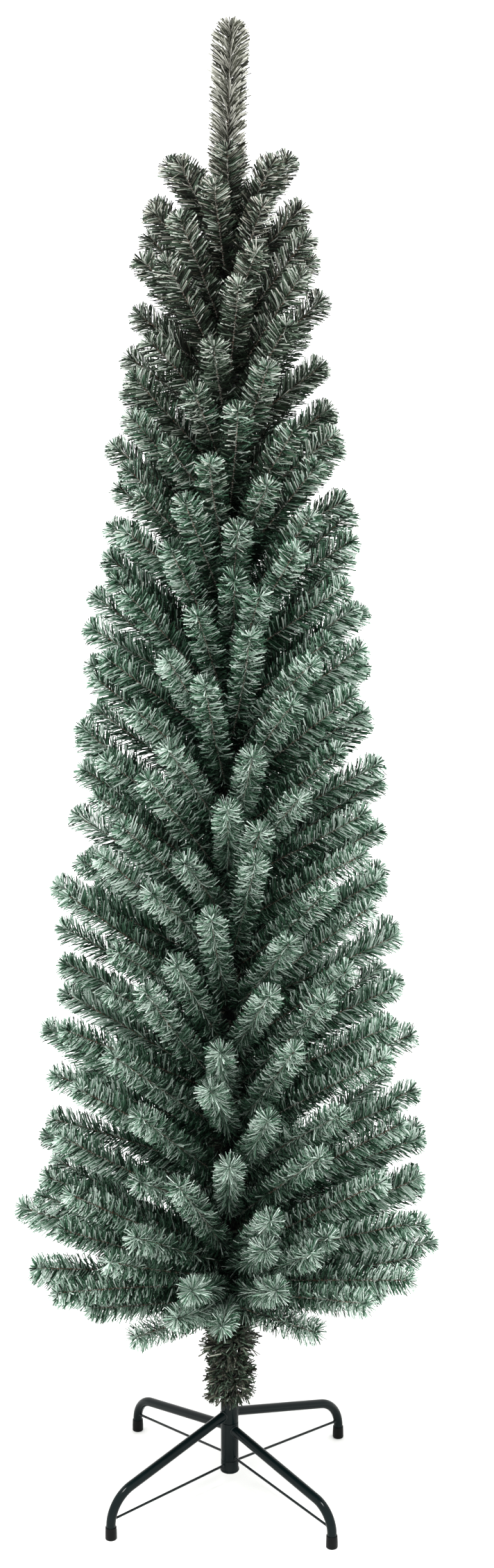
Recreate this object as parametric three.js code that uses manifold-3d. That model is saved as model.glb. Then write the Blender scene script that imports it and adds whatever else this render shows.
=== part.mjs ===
// Slim artificial tree with frosted bottle-brush branches on a folding stand of four steel legs.
// Millimetres, +Z up. The origin lies on the floor under the pole's axis. +X runs to the right of
// the front view and +Y runs away from it.
import * as THREE from "three";
import { mergeVertices } from "three/addons/utils/BufferGeometryUtils.js";
import Module from "manifold-3d";

const wasm = await Module();
wasm.setup();

// Driving dimensions

const TREE_HEIGHT = 1800;
const GAP = 0.3; // clearance between pieces that touch on the real tree

// The pole is two steel tubes: the upper one is swaged into the lower one.
const POLE = {
  foot: 24.3,
  lowerRadius: 9.5,
  joint: 900,
  swage: 12,
  upperRadius: 8,
  top: 1612,
  sides: 24,
};

// Three collars of one diameter share the pole's foot, so that one pair of legs can turn to fold.
const COLLAR = { radius: 11.3, flangeRadius: 12.2, flangeHeight: 3, floor: 2, sides: 24 };
const COLLAR_SPANS = {
  stand_lower_collar: [22, 38],
  stand_turning_sleeve: [38.3, 89.7],
  stand_upper_collar: [90, 118.4],
};

// A leg leaves its collar downwards and bends to stand upright in its foot cap.
const LEG = { radius: 6, sides: 10, steps: 16, footCircle: 192, uprightBelow: 17, end: 2.3, sunk: 4 };
// axisZ: where the leg's straight run would meet the pole's axis. drop: its fall in degrees.
const UPPER_PAIR = { axisZ: 103.1, drop: 15.4, strutZ: 31.5 };
const LOWER_PAIR = { axisZ: 82.5, drop: 10.6, strutZ: 42.6 };
const STAND_TURN = -4.55; // how far the stand is turned from square to the front view, in degrees
const LEGS = [
  { name: "front_right", bearing: -45, pair: LOWER_PAIR },
  { name: "back_right", bearing: 45, pair: UPPER_PAIR },
  { name: "back_left", bearing: 135, pair: LOWER_PAIR },
  { name: "front_left", bearing: 225, pair: UPPER_PAIR },
];
const STRUT = { radius: 1.6, sides: 8, outerReach: 184.2, outerZ: 24.5 };
const FOOT_CAP = { radius: 7.3, height: 16, bore: 6.6, floor: 2, bevel: 1.6, lip: 0.7, sides: 12 };

// The crown: tiers of branches, each tier on a collar of its own round the pole.
const TIERS = 28;
// A tier's height on the pole, by its share of the way up the tiers. The lowest sit close together.
const TIER_HEIGHTS = [[0, 258], [0.15, 326], [1, 1566]];
const TIER_TURN = 11.5; // each tier is turned this far on from the one below, in degrees
const FULL_TIER = 12; // branches on a tier
const TOP_TIER = 8; // branches on each of the short tiers at the top
const SHORT_TIERS_FROM = 22;
// Every second branch of a tier grows higher on the collar and steeper, the others lower and flatter.
const STAGGER = { height: 4, slope: 2.5 };
const SEED = 2109;
const SPREAD = { bearing: 6, slope: 4, lift: 4, sway: 5, shortening: 0.12 };
// A branch's slope above level, in degrees, by the same share. The lowest tiers fan out from flat.
const SLOPES = [[0, 9], [0.037, 13], [0.074, 18], [0.148, 28], [0.35, 32], [0.8, 39], [0.93, 45], [1, 51]];
const FRONT_RAISE = 6; // how much steeper the branches to the front and the back grow, in degrees
// The lowest branches are shorter than the outline: their part of it, by the same share.
const HEM = [[0, 0.76], [0.037, 0.98], [0.075, 1]];
// The outline is two cones round the pole: radius at a height, and how much it narrows a millimetre up.
const OUTLINE = [
  { radius: 291, at: 276, narrows: 0.14 },
  { radius: 127, at: 1552, narrows: 0.48 },
];

// A branch is a three-sided core with sprays of needles standing out of it and leaning forward.
const CORE = { sides: 3, rootRadius: 2.6, tipRadius: 2, band: 74, twist: 35 };
const SPRAY = { reach: 24, lean: 20, atTip: 15, shortest: 0.35, shrink: 0.1, clear: 1.2, offPole: 27 };
const TIER_COLLAR = { height: 15, wall: 6.2, neck: 2.5 };

// The leader is the upright brush on top. Its tip leans a little to the right.
const LEADER = { tipLean: 3, bands: 5 };

// A garland of needles wraps the pole between the stand and the lowest tier.
const GARLAND = { from: 118.9, to: 206, wall: 4.5, sides: 8, rows: 4, reach: 30, droop: 9 };

// Materials

const steel = { color: 0x182020, roughness: 0.3, metalness: 0.4 };
const poleSteel = { color: 0x202424, roughness: 0.4, metalness: 0.4 };
const footPlastic = { color: 0x101212, roughness: 0.6, metalness: 0 };
const frostedNeedles = { color: 0x55685c, roughness: 0.85, metalness: 0, flatShading: true };
const darkNeedles = { color: 0x323a32, roughness: 0.9, metalness: 0, flatShading: true };

// Small helpers

const { degToRad, lerp } = THREE.MathUtils;
const UP = new THREE.Vector3(0, 0, 1);
const AWAY = new THREE.Vector3(0, 1, 0);

// A linear congruential generator: one seed always gives the same run of numbers from 0 to 1.
function seededDraws(seed) {
  let state = seed >>> 0;
  return () => {
    state = (Math.imul(state, 1664525) + 1013904223) >>> 0;
    return state / 2 ** 32;
  };
}

// Reads a value off a short list of [place, value] pairs, straight between neighbours.
function readOff(stops, place) {
  const next = Math.max(1, stops.findIndex(([at]) => at >= place));
  if (place >= stops.at(-1)[0]) return stops.at(-1)[1];
  const [from, low] = stops[next - 1];
  const [to, high] = stops[next];
  return lerp(low, high, (place - from) / (to - from));
}

function solidOf(geometry) {
  const bare = new THREE.BufferGeometry().setAttribute("position", geometry.attributes.position);
  bare.setIndex(geometry.index);
  const merged = mergeVertices(bare, 1e-4);
  const vertProperties = merged.attributes.position.array;
  const triVerts = new Uint32Array(merged.index.array);
  return new wasm.Manifold(new wasm.Mesh({ numProp: 3, vertProperties, triVerts }));
}

function geometryOf(solid) {
  const { vertProperties, triVerts } = solid.getMesh();
  const geometry = new THREE.BufferGeometry();
  geometry.setAttribute("position", new THREE.BufferAttribute(vertProperties, 3));
  geometry.setIndex(new THREE.BufferAttribute(triVerts, 1));
  geometry.computeVertexNormals();
  return geometry;
}

// Turns a profile of [radius, height] pairs round the pole's axis. A profile off the axis is closed.
function turned(profile, sides) {
  const points = profile.map(([radius, height]) => new THREE.Vector2(radius, height));
  const onAxis = profile[0][0] === 0;
  if (!onAxis) points.push(points[0].clone());
  return new THREE.LatheGeometry(points, sides).rotateX(Math.PI / 2);
}

// A ring of flat sides whose inner faces stay clear of a round of the given radius.
function sleeve(clearRadius, outerRadius, from, to, sides) {
  const inner = clearRadius / Math.cos(Math.PI / sides);
  return turned([[inner, from], [outerRadius, from], [outerRadius, to], [inner, to]], sides);
}

// Two faces that fill four corners.
function quad(a, b, c, d) {
  return [a, b, c, a, c, d];
}

function geometryFrom(points, faces) {
  return new THREE.BufferGeometry().setFromPoints(points).setIndex(faces);
}

function named(name, geometry, finish) {
  const mesh = new THREE.Mesh(geometry, new THREE.MeshStandardMaterial(finish));
  mesh.name = name;
  return mesh;
}

// Pole

function poleRadiusAt(height) {
  return height < POLE.joint ? POLE.lowerRadius : POLE.upperRadius;
}

function makePole() {
  const profile = [
    [0, POLE.foot],
    [POLE.lowerRadius, POLE.foot],
    [POLE.lowerRadius, POLE.joint - POLE.swage],
    [POLE.upperRadius, POLE.joint],
    [POLE.upperRadius, POLE.top],
    [0, POLE.top],
  ];
  return named("pole", turned(profile, POLE.sides), poleSteel);
}

// Stand

function makeCollars() {
  return Object.entries(COLLAR_SPANS).map(([name, [from, to]]) => {
    if (name !== "stand_lower_collar") {
      const ring = sleeve(POLE.lowerRadius + GAP, COLLAR.radius, from, to, COLLAR.sides);
      return named(name, ring, steel);
    }
    // The lowest collar is a cup: its floor carries the pole, and a flange runs round its foot.
    const inner = (POLE.lowerRadius + GAP) / Math.cos(Math.PI / COLLAR.sides);
    const profile = [
      [0, from],
      [COLLAR.flangeRadius, from],
      [COLLAR.flangeRadius, from + COLLAR.flangeHeight],
      [COLLAR.radius, from + COLLAR.flangeHeight],
      [COLLAR.radius, to],
      [inner, to],
      [inner, from + COLLAR.floor],
      [0, from + COLLAR.floor],
    ];
    return named(name, turned(profile, COLLAR.sides), steel);
  });
}

// The centre line of a leg in the plane of its bearing: straight run, bend, upright end.
function legPath({ axisZ, drop }) {
  const fall = degToRad(drop);
  const corner = axisZ - LEG.footCircle * Math.tan(fall);
  const tangent = corner - LEG.uprightBelow;
  const bendRadius = tangent / Math.tan((Math.PI / 2 - fall) / 2);
  const at = (reach, height) => new THREE.Vector3(reach, 0, height);
  const start = COLLAR.radius - LEG.sunk;
  const bendStart = LEG.footCircle - tangent * Math.cos(fall);
  const path = new THREE.CurvePath();
  path.add(new THREE.LineCurve3(
    at(start, axisZ - start * Math.tan(fall)),
    at(bendStart, corner + tangent * Math.sin(fall)),
  ));
  path.add(new BendCurve(LEG.footCircle - bendRadius, LEG.uprightBelow, bendRadius, fall));
  path.add(new THREE.LineCurve3(at(LEG.footCircle, LEG.uprightBelow), at(LEG.footCircle, LEG.end)));
  return path;
}

// An arc in the XZ plane that turns from a falling run to straight down.
class BendCurve extends THREE.Curve {
  constructor(centreX, centreZ, radius, fall) {
    super();
    Object.assign(this, { centreX, centreZ, radius, fall });
  }

  getPoint(share, target = new THREE.Vector3()) {
    const angle = (Math.PI / 2 - this.fall) * (1 - share);
    return target.set(
      this.centreX + this.radius * Math.cos(angle),
      0,
      this.centreZ + this.radius * Math.sin(angle),
    );
  }
}

function roundSection(radius, sides) {
  const corners = Array.from({ length: sides }, (_, k) => {
    const angle = (2 * Math.PI * k) / sides;
    return new THREE.Vector2(radius * Math.cos(angle), radius * Math.sin(angle));
  });
  return new THREE.Shape(corners);
}

// A leg is a bent tube whose upper end is cut to fit round its collar.
function makeLeg({ name, pair }) {
  const tube = new THREE.ExtrudeGeometry(roundSection(LEG.radius, LEG.sides), {
    steps: LEG.steps,
    extrudePath: legPath(pair),
  });
  const clearance = turned(
    [[0, 0], [COLLAR.radius + GAP, 0], [COLLAR.radius + GAP, TREE_HEIGHT / 2], [0, TREE_HEIGHT / 2]],
    COLLAR.sides,
  );
  return named(`leg_${name}`, geometryOf(solidOf(tube).subtract(solidOf(clearance))), steel);
}

// A strut is a thin rod that ties the foot of a leg to the collars.
function makeStrut({ name, pair }) {
  const from = new THREE.Vector3(COLLAR.radius + 2 * GAP, 0, pair.strutZ);
  const to = new THREE.Vector3(STRUT.outerReach, 0, STRUT.outerZ);
  const run = to.clone().sub(from);
  const rod = new THREE.CylinderGeometry(STRUT.radius, STRUT.radius, run.length(), STRUT.sides);
  const strut = named(`strut_${name}`, rod, steel);
  strut.position.copy(from).addScaledVector(run, 0.5);
  strut.quaternion.setFromUnitVectors(AWAY, run.normalize());
  return strut;
}

// A foot cap is a plastic cup that the leg's end stands in, flat underneath.
function makeFootCap({ name }) {
  const { radius, height, bore, floor, bevel, lip, sides } = FOOT_CAP;
  const profile = [
    [0, 0],
    [radius - bevel, 0],
    [radius, bevel],
    [radius, height - lip],
    [radius - lip, height],
    [bore, height],
    [bore, floor],
    [0, floor],
  ];
  const cap = named(`foot_cap_${name}`, turned(profile, sides), footPlastic);
  cap.position.x = LEG.footCircle;
  return cap;
}

function makeStand() {
  const stand = new THREE.Group();
  stand.add(...makeCollars());
  for (const leg of LEGS) {
    const side = new THREE.Group();
    side.rotation.z = degToRad(leg.bearing + STAND_TURN);
    side.add(makeLeg(leg), makeStrut(leg), makeFootCap(leg));
    stand.add(side);
  }
  return stand;
}

// Branches

// The centre line bends evenly from its first direction to its last.
class BranchLine extends THREE.Curve {
  constructor(root, first, last, length) {
    super();
    Object.assign(this, { root, first, last, length });
  }

  getPoint(share, target = new THREE.Vector3()) {
    target.copy(this.root).addScaledVector(this.first, this.length * (share - share ** 2 / 2));
    return target.addScaledVector(this.last, (this.length * share ** 2) / 2);
  }

  getTangent(share, target = new THREE.Vector3()) {
    return target.copy(this.first).lerp(this.last, share).normalize();
  }
}

function heading(bearing, slope) {
  const [turn, rise] = [degToRad(bearing), degToRad(slope)];
  return new THREE.Vector3(
    Math.cos(rise) * Math.cos(turn),
    Math.cos(rise) * Math.sin(turn),
    Math.sin(rise),
  );
}

// How far out from its root a branch of one slope meets the crown's outline.
function reachToOutline(rootRadius, rootZ, slope) {
  const rise = Math.tan(degToRad(slope));
  const reaches = OUTLINE.map(({ radius, at, narrows }) =>
    (radius - narrows * (rootZ - at) - rootRadius) / (1 + narrows * rise));
  return Math.min(...reaches);
}

// Lays out every branch of the crown: the seeded rule that the whole tree grows by.
function layOutTiers() {
  const draw = seededDraws(SEED);
  const either = (most) => most * (2 * draw() - 1);
  return Array.from({ length: TIERS }, (_, tier) => {
    const share = tier / (TIERS - 1);
    const collarZ = readOff(TIER_HEIGHTS, share);
    const turn = tier * TIER_TURN;
    const rootRadius = poleRadiusAt(collarZ) + GAP + TIER_COLLAR.wall + TIER_COLLAR.neck;
    const count = tier < SHORT_TIERS_FROM ? FULL_TIER : TOP_TIER;
    const lines = Array.from({ length: count }, (_, place) => {
      const step = place % 2 ? 1 : -1;
      const rootZ = collarZ + STAGGER.height * step;
      const bearing = turn + (360 * place) / count + either(SPREAD.bearing);
      const raise = FRONT_RAISE * Math.sin(degToRad(bearing)) ** 2;
      const slope = readOff(SLOPES, share) + raise + STAGGER.slope * step + either(SPREAD.slope);
      const lift = either(SPREAD.lift);
      const sway = either(SPREAD.sway);
      const fullness = readOff(HEM, share) * (1 - SPREAD.shortening * draw());
      const first = heading(bearing - sway, slope - lift);
      const last = heading(bearing + sway, slope + lift);
      const out = reachToOutline(rootRadius, rootZ, slope) * fullness;
      const length = out / Math.cos(degToRad(slope)) - SPRAY.atTip;
      const side = heading(bearing, 0).multiplyScalar(rootRadius);
      return new BranchLine(side.setZ(rootZ), first, last, length);
    });
    return { collarZ, turn, lines };
  });
}

function layOutLeader() {
  const root = new THREE.Vector3(0, 0, POLE.top + GAP);
  const length = TREE_HEIGHT - SPRAY.atTip - root.z;
  return new BranchLine(root, UP.clone(), heading(0, 90 - LEADER.tipLean), length);
}

// The straight pieces that stand for a centre line when distances to it are measured.
function chordsOf(line) {
  const points = line.getPoints(4);
  points.push(points.at(-1).clone().addScaledVector(line.getTangent(1), SPRAY.atTip));
  return points.slice(1).map((point, k) => ({ line, chord: new THREE.Line3(points[k], point) }));
}

const nearest = new THREE.Vector3();

function distanceToOthers(point, own, chords) {
  const distances = chords.map(({ line, chord }) => {
    if (line === own) return Infinity;
    return chord.closestPointToPoint(point, true, nearest).distanceTo(point);
  });
  return Math.min(...distances);
}

// The tip of the longest spray that keeps nearer to its own stem than to any other, or null.
function sprayTip(line, share, outward, keepOff, chords) {
  for (let size = 1; size >= SPRAY.shortest; size -= SPRAY.shrink) {
    const tip = line.getPoint(share).addScaledVector(outward, SPRAY.reach * size);
    tip.addScaledVector(line.getTangent(share), SPRAY.lean * size);
    const free = distanceToOthers(tip, line, chords) > SPRAY.reach * size + SPRAY.clear;
    if (free && Math.hypot(tip.x, tip.y) > keepOff) return tip;
  }
  return null;
}

// A brush along a line, open at its root: a core in bands, each face of a band raised to a spray that
// leans forward. Its first corner lies on the side of the reference direction. Sprays keep off the pole.
function brush(line, bands, reference, keepOff, chords) {
  const points = [];
  const faces = [];
  const { sides } = CORE;
  const outwardAt = (share, place) => {
    const forward = line.getTangent(share);
    const normal = reference.clone().addScaledVector(forward, -reference.dot(forward)).normalize();
    const across = forward.clone().cross(normal);
    const angle = (2 * Math.PI * place) / sides + degToRad(CORE.twist) * share * bands;
    return normal.multiplyScalar(Math.cos(angle)).addScaledVector(across, Math.sin(angle));
  };
  for (let station = 0; station <= bands; station += 1) {
    const share = station / bands;
    const radius = lerp(CORE.rootRadius, CORE.tipRadius, share);
    for (let place = 0; place < sides; place += 1) {
      points.push(line.getPoint(share).addScaledVector(outwardAt(share, place), radius));
    }
  }
  const corner = (station, place) => station * sides + (place % sides);
  for (let station = 0; station < bands; station += 1) {
    const middle = (station + 0.5) / bands;
    for (let place = 0; place < sides; place += 1) {
      const [a, b] = [corner(station, place), corner(station, place + 1)];
      const [d, c] = [corner(station + 1, place), corner(station + 1, place + 1)];
      const tip = sprayTip(line, middle, outwardAt(middle, place + 0.5), keepOff, chords);
      if (tip) {
        const e = points.push(tip) - 1;
        faces.push(a, b, e, b, c, e, c, d, e, d, a, e);
      } else {
        faces.push(a, b, c, a, c, d);
      }
    }
  }
  const end = points.push(line.getPoint(1).addScaledVector(line.getTangent(1), SPRAY.atTip)) - 1;
  for (let place = 0; place < sides; place += 1) {
    faces.push(corner(bands, place), corner(bands, place + 1), end);
  }
  return { points, faces };
}

// A tier is one mass: a collar with a side for each branch, each side drawn out into its branch.
function makeTier({ collarZ, turn, lines }, tier, chords) {
  const inner = poleRadiusAt(collarZ) + GAP;
  const { height, wall } = TIER_COLLAR;
  const sides = lines.length;
  const points = [];
  const faces = [];
  // The collar's corners lie between its branches, four points each.
  for (let corner = 0; corner < sides; corner += 1) {
    const outward = heading(turn + (360 * (corner - 0.5)) / sides, 0);
    for (const radius of [inner + wall, inner]) {
      const point = outward.clone().multiplyScalar(radius / Math.cos(Math.PI / sides));
      points.push(point.clone().setZ(collarZ + height / 2), point.setZ(collarZ - height / 2));
    }
  }
  const cornerPoints = (corner) => [0, 1, 2, 3].map((k) => 4 * (corner % sides) + k);
  lines.forEach((line, place) => {
    const [top, foot, innerTop, innerFoot] = cornerPoints(place);
    const [nextTop, nextFoot, nextInnerTop, nextInnerFoot] = cornerPoints(place + 1);
    faces.push(...quad(top, nextTop, nextInnerTop, innerTop));
    faces.push(...quad(nextFoot, foot, innerFoot, nextInnerFoot));
    faces.push(...quad(innerTop, nextInnerTop, nextInnerFoot, innerFoot));
    const bands = Math.max(2, Math.round(line.length / CORE.band));
    const branch = brush(line, bands, UP, SPRAY.offPole, chords);
    const upper = points.length;
    const [lower, nextLower] = [upper + 1, upper + 2];
    points.push(...branch.points);
    faces.push(...branch.faces.map((k) => k + upper));
    // The neck runs from the four corners of the collar's side to the three of the branch's root.
    faces.push(nextTop, top, upper);
    faces.push(...quad(top, foot, lower, upper));
    faces.push(...quad(foot, nextFoot, nextLower, lower));
    faces.push(...quad(nextFoot, nextTop, upper, nextLower));
  });
  return named(`tier_${String(tier + 1).padStart(2, "0")}`, geometryFrom(points, faces), frostedNeedles);
}

// The leader's root is closed with a face of its own.
function makeLeader(line, chords) {
  const { points, faces } = brush(line, LEADER.bands, AWAY, 0, chords);
  faces.push(2, 1, 0);
  return named("leader", geometryFrom(points, faces), frostedNeedles);
}

function makeCrown() {
  const tiers = layOutTiers();
  const leader = layOutLeader();
  const chords = [...tiers.flatMap(({ lines }) => lines), leader].flatMap(chordsOf);
  const crown = new THREE.Group();
  crown.add(...tiers.map((tier, k) => makeTier(tier, k, chords)));
  crown.add(makeLeader(leader, chords));
  return crown;
}

// A sleeve round the pole whose outer faces are raised to drooping tufts.
function makeGarland() {
  const { from, to, wall, sides, rows, reach, droop } = GARLAND;
  const inner = (POLE.lowerRadius + GAP) / Math.cos(Math.PI / sides);
  const at = (radius, place, height) => {
    const angle = (2 * Math.PI * place) / sides;
    return new THREE.Vector3(radius * Math.cos(angle), radius * Math.sin(angle), height);
  };
  const points = [];
  const faces = [];
  const corner = (row, place) => row * sides + (place % sides);
  for (let row = 0; row <= rows; row += 1) {
    for (let place = 0; place < sides; place += 1) {
      points.push(at(inner + wall, place, lerp(from, to, row / rows)));
    }
  }
  const innerFoot = points.length;
  for (const height of [from, to]) {
    for (let place = 0; place < sides; place += 1) points.push(at(inner, place, height));
  }
  const innerCorner = (end, place) => innerFoot + end * sides + (place % sides);
  for (let place = 0; place < sides; place += 1) {
    for (let row = 0; row < rows; row += 1) {
      const [a, b] = [corner(row, place), corner(row, place + 1)];
      const [d, c] = [corner(row + 1, place), corner(row + 1, place + 1)];
      const height = lerp(from, to, (row + 0.5) / rows) - droop;
      const e = points.push(at(reach, place + 0.5, height)) - 1;
      faces.push(a, b, e, b, c, e, c, d, e, d, a, e);
    }
    const [foot, nextFoot] = [innerCorner(0, place), innerCorner(0, place + 1)];
    const [top, nextTop] = [innerCorner(1, place), innerCorner(1, place + 1)];
    faces.push(...quad(nextFoot, foot, top, nextTop));
    faces.push(...quad(corner(0, place + 1), corner(0, place), foot, nextFoot));
    faces.push(...quad(corner(rows, place), corner(rows, place + 1), nextTop, top));
  }
  return named("pole_garland", geometryFrom(points, faces), darkNeedles);
}

const tree = new THREE.Group();
tree.add(makePole(), makeStand(), makeGarland(), makeCrown());

export default tree;
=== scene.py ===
"""A slim frosted artificial tree on a folding four-legged stand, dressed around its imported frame.

Lengths are in millimetres and angles in degrees unless a comment says otherwise, with +Z up, +X to
the right of the front view and +Y away from it.
"""

import logging
import math
from collections.abc import Callable, Mapping, Sequence
from dataclasses import dataclass
from enum import Enum
from itertools import pairwise

import bpy
import numpy as np
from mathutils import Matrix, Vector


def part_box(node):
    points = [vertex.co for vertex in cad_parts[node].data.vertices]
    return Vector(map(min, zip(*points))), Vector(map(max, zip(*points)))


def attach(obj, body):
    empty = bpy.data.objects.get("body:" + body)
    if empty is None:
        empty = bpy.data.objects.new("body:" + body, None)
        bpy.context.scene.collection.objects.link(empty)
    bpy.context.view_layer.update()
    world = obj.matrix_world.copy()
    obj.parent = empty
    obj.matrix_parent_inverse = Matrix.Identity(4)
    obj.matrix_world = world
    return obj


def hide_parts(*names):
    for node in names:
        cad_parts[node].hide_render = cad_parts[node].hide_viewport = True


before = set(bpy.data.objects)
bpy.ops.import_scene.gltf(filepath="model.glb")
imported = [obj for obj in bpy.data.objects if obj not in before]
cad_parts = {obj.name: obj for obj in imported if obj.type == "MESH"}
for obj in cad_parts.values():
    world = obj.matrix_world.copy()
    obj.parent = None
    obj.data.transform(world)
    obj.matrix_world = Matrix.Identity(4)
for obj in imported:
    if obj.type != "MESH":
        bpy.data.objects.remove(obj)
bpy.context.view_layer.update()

Array = np.ndarray
Rng = np.random.Generator
Surface = tuple[Array, Array]  # points and the triangles between them
Profile = list[tuple[float, float]]  # radii and heights
Steps = tuple[tuple[float, float], ...]  # shares of a height, and the value at each

LOG = logging.getLogger("tree")
METRE = 1000.0
BODY = "root"
GAP = 0.3  # clearance between pieces that touch on the real tree
FIT = GAP / 3  # clearance of a ring round the pole
SAME_PLACE = 1e-7  # points this near count as one
FULL_TURN = 2.0 * np.pi
PHASES = (0.0, 6.0)  # where a wave may start, in radians
UP = np.array([0.0, 0.0, 1.0])
AWAY = np.array([0.0, 1.0, 0.0])
OUT = np.array([1.0, 0.0, 0.0])  # from the pole, at bearing 0
LEVEL = np.array([1.0, 1.0, 0.0])  # leaves a point's height out


# Shapes as whole arrays


def unit(vectors: Array) -> Array:
    """Scales each vector of the last axis to length 1."""
    return vectors / np.linalg.norm(vectors, axis=-1, keepdims=True)


def square_to(vectors: Array, axes: Array) -> Array:
    """The part of vectors square to unit axes, at length 1: v - (v . axis) axis, scaled."""
    return unit(vectors - np.sum(vectors * axes, axis=-1, keepdims=True) * axes)


def heading(bearing: Array | float, slope: Array | float) -> Array:
    """Unit vectors at a bearing round the pole and a slope above level."""
    turn, rise = np.broadcast_arrays(np.radians(bearing), np.radians(slope))
    return np.stack([np.cos(rise) * np.cos(turn), np.cos(rise) * np.sin(turn), np.sin(rise)], axis=-1)


def turned_about(vectors: Array, axes: Array, angle: Array | float) -> Array:
    """Turns vectors round unit axes square to them, by radians: v cos a + (axis x v) sin a."""
    angle = np.asarray(angle)[..., None]
    return vectors * np.cos(angle) + np.cross(axes, vectors) * np.sin(angle)


def ease(low: float, high: float, values: Array) -> Array:
    """Rises smoothly from 0 at low to 1 at high: 3t^2 - 2t^3 of the share t between them."""
    share = np.clip((values - low) / (high - low), 0.0, 1.0)
    return share * share * (3.0 - 2.0 * share)


def read_off(steps: Steps, share: Array | float) -> Array:
    """The value at a share, on straight stretches between the steps."""
    return np.interp(share, *zip(*steps))


def circle(sides: int) -> Array:
    """Angles that split a full turn evenly, in radians."""
    return np.linspace(0.0, FULL_TURN, sides, endpoint=False)


def skin(grid: Array, closes_along: bool = False) -> Surface:
    """Joins a grid of points into triangles that face outwards.

    Each row is a closed ring, anticlockwise as seen against the direction in which the rows
    follow one another. A row that lies in one place becomes a single point.

    Args:
        grid: Points by row, column and axis.
        closes_along: Whether the last row joins the first.

    Returns:
        The used points and their triangles.
    """
    rows, columns = grid.shape[:2]
    index = np.arange(rows * columns).reshape(rows, columns)
    poles = np.ptp(grid, axis=1).max(axis=1) < SAME_PLACE
    index[poles] = index[poles, :1]
    if closes_along:
        index = np.concatenate([index, index[:1]])
    beside = np.roll(index, -1, axis=1)
    corners = (index[:-1], beside[:-1], beside[1:], index[1:])
    halves = [np.stack([corners[0], corners[k], corners[k + 1]], axis=-1) for k in (1, 2)]
    triangles = np.concatenate(halves).reshape(-1, 3)
    proper = (triangles != np.roll(triangles, 1, axis=1)).all(axis=1)
    used, faces = np.unique(triangles[proper], return_inverse=True)
    return grid.reshape(-1, 3)[used], faces.reshape(-1, 3)


def turned(profile: Profile, sides: int, closed: bool = False) -> Surface:
    """Turns a profile round the pole's axis: (r cos a, r sin a, z).

    Args:
        profile: Points that run outwards underneath and upwards outside.
        sides: Steps round the axis.
        closed: Whether the profile joins its own start.

    Returns:
        The turned surface.
    """
    radius, height = np.array(profile, float).T[:, :, None]
    angle = circle(sides)[None]
    flat = np.zeros_like(angle)
    grid = np.stack([radius * np.cos(angle), radius * np.sin(angle), height + flat], axis=-1)
    return skin(grid, closes_along=closed)


def tube(path: Array, normals: Array, radii: Array | float, sides: int, loop: bool = False) -> Surface:
    """Carries a circle along a path: point + radius (cos a normal + sin a binormal).

    Args:
        path: Points along the centre line.
        normals: A direction across the path, for all points or for each.
        radii: The circle's radius, for all points or for each.
        sides: Steps round the circle.
        loop: Whether the path joins its own start. If not, its ends get flat caps.

    Returns:
        The tube's surface.
    """
    chords = np.roll(path, -1, axis=0) - np.roll(path, 1, axis=0)
    along = unit(chords if loop else np.gradient(path, axis=0))
    across = square_to(normals, along)
    ring = turned_about(across[:, None], along[:, None], circle(sides)[None])
    grid = path[:, None] + np.broadcast_to(radii, len(path))[:, None, None] * ring
    if loop:
        return skin(grid, closes_along=True)
    ends = np.repeat(path[[0, -1], None], sides, axis=1)
    return skin(np.concatenate([ends[:1], grid, ends[1:]]))


def bead(centre: Array, radii: Sequence[float], rng: Rng) -> Surface:
    """A drop of weld: an ellipsoid that swells and dips in waves round it.

    Args:
        centre: The drop's middle.
        radii: Half sizes along X, Y and Z.
        rng: Where the waves' phase comes from.

    Returns:
        The drop's surface.
    """
    rings, sides, waves, swell = 9, 12, 3.0, 0.1
    polar = np.linspace(-np.pi / 2, np.pi / 2, rings)[:, None]
    angle = circle(sides)[None]
    lumps = 1.0 + swell * np.sin(waves * angle + rng.uniform(*PHASES)) * np.cos(polar)
    sphere = [np.cos(polar) * np.cos(angle), np.cos(polar) * np.sin(angle), np.sin(polar) + 0.0 * angle]
    return skin(centre + np.array(radii) * lumps[..., None] * np.stack(sphere, axis=-1))


def placed(surface: Surface, bearing: float, reach: float = 0.0) -> Surface:
    """Moves a surface out along +X, then turns it: (x cos b - y sin b, x sin b + y cos b, z).

    Args:
        surface: What is moved.
        bearing: Where round the pole it goes.
        reach: How far out it goes.

    Returns:
        The surface in its place.
    """
    points, faces = surface
    turn = math.radians(bearing)
    x, y, z = (points + reach * OUT).T
    across = [x * math.cos(turn) - y * math.sin(turn), x * math.sin(turn) + y * math.cos(turn), z]
    return np.stack(across, axis=-1), faces


def rounded(centre: tuple[float, float], radius: float, start: float, steps: int = 4) -> Profile:
    """Points of a quarter round in a profile: centre + radius (cos a, sin a) over 90 degrees.

    Args:
        centre: The round's centre, as radius and height.
        radius: The round's own radius.
        start: The angle of its first point.
        steps: Straight pieces in the round.

    Returns:
        Profile points, anticlockwise.
    """
    angle = np.radians(start + np.linspace(0.0, 90.0, steps + 1))
    points = np.stack([centre[0] + radius * np.cos(angle), centre[1] + radius * np.sin(angle)], axis=-1)
    return [tuple(point) for point in points.tolist()]


def face_normals(surface: Surface) -> Array:
    """The unit normal of each triangle: the cross product of two of its edges."""
    first, second, third = np.moveaxis(surface[0][surface[1]], 1, 0)
    return unit(np.cross(second - first, third - first))


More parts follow.
